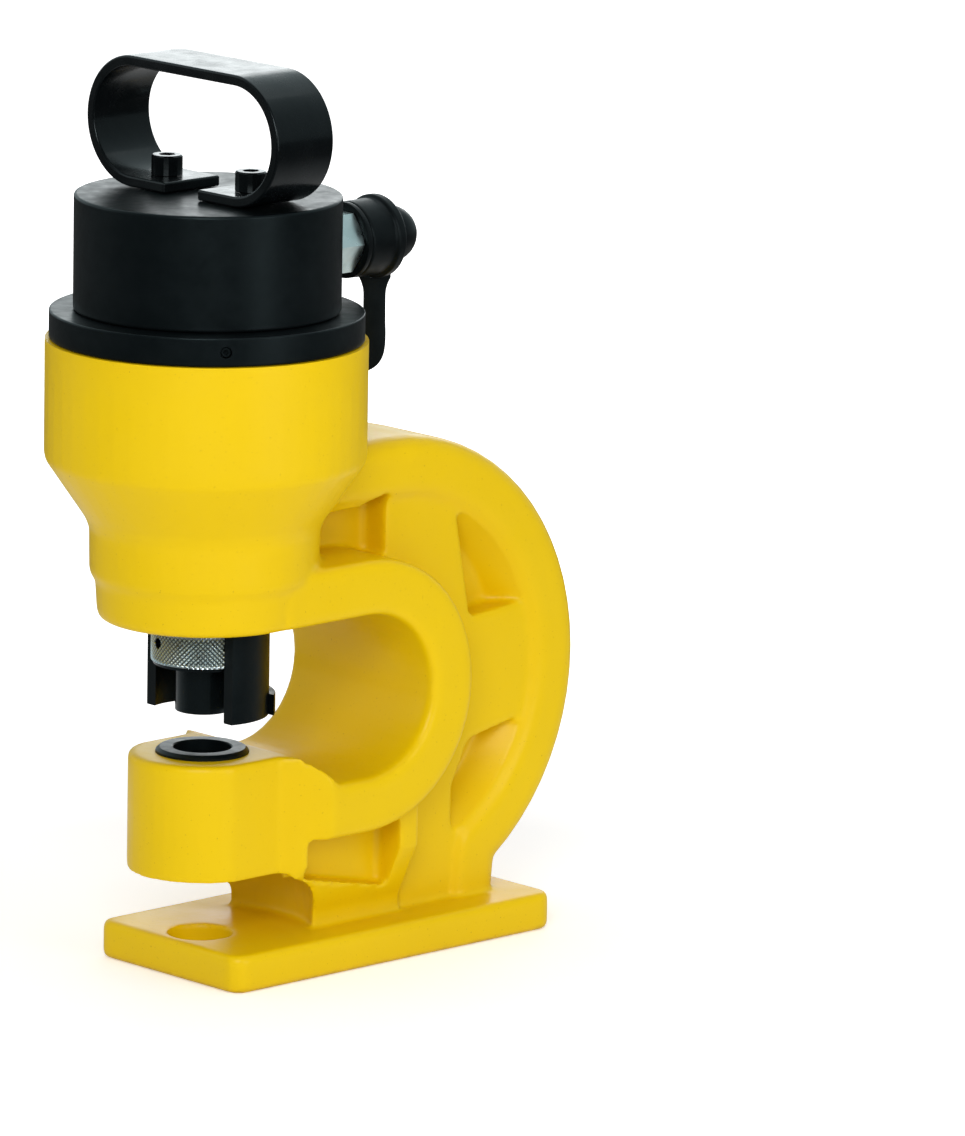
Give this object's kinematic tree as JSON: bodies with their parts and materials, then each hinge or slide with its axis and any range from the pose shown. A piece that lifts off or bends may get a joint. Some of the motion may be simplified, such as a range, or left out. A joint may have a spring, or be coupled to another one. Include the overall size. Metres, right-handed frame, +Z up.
{
  "type": "hydraulic hole punch",
  "caption": "Bench hydraulic C-frame hole punch: cast frame, spring-return ram with punch and die, stripper sleeve, carry handle and capped oil coupler.",
  "frame": {"origin": "centre of the base plate's flat underside", "axes": "+Z up along the ram, -Y the side that the throat opens to, +Y the back where the oil coupler points, X across the frame"},
  "size_m": [0.164, 0.3173, 0.4701],
  "materials": {
    "yellow_paint": "gloss yellow paint on a casting",
    "black_steel": "satin bluish black oxide",
    "black_gloss": "gloss black enamel",
    "bright_steel": "plain machined steel",
    "zinc_plate": "silvery zinc plate",
    "spring_steel": "dark oiled spring steel",
    "bronze": "plain bronze",
    "black_rubber": "matt black moulded rubber",
    "seal_rubber": "dark sealing rubber"
  },
  "bodies": {
    "frame": {"c_frame": "yellow_paint", "cylinder_head": "black_steel", "lock_ring": "black_steel", "lock_ring_screw": "black_steel", "head_o_ring": "seal_rubber", "carry_handle": "black_gloss", "handle_screw_left": "black_gloss", "handle_screw_right": "black_gloss", "return_spring": "spring_steel", "guide_bush": "bronze", "rod_wiper": "seal_rubber", "die": "black_steel", "die_set_screw": "black_steel", "stripper": "black_steel", "stripper_screw": "black_steel", "port_washer": "bronze", "coupler_adapter": "zinc_plate", "coupler_body": "zinc_plate", "cap_strap": "black_rubber"},
    "ram": {"ram": "bright_steel", "piston": "bright_steel", "piston_screw": "black_steel", "piston_seal": "seal_rubber", "piston_wear_ring": "bronze"},
    "punch": {"punch": "black_steel"},
    "punch_nut": {"punch_nut": "bright_steel"},
    "dust_cap": {"dust_cap": "black_rubber"},
    "coupler_poppet": {"coupler_poppet": "bright_steel", "coupler_spring": "spring_steel"}
  },
  "joints": [
    {"name": "ram_stroke", "type": "slide", "parent": "frame", "child": "ram", "axis": [0, 0, -1], "range_m": [0, 0.0245], "stiffness_N_per_m": 8000, "springref_m": -0.012, "deforming": ["return_spring"]},
    {"name": "punch_drop", "type": "slide", "parent": "ram", "child": "punch", "axis": [0, 0, -1], "range_m": [0, 0.0041]},
    {"name": "nut_turn", "type": "hinge", "parent": "punch", "child": "punch_nut", "pos_m": [0, -0.0884, 0.1797], "axis": [0, 0, -1], "range_deg": [0, 720]},
    {"name": "cap_pull", "type": "slide", "parent": "frame", "child": "dust_cap", "axis": [0, 1, 0], "range_m": [0, 0.036]},
    {"name": "poppet_press", "type": "slide", "parent": "frame", "child": "coupler_poppet", "axis": [0, -1, 0], "range_m": [0, 0.003], "stiffness_N_per_m": 1500, "springref_m": -0.003}
  ],
  "couplings": [
    {"joint": "punch_drop", "follows": "nut_turn", "m_per_rad": 0.00031831}
  ]
}
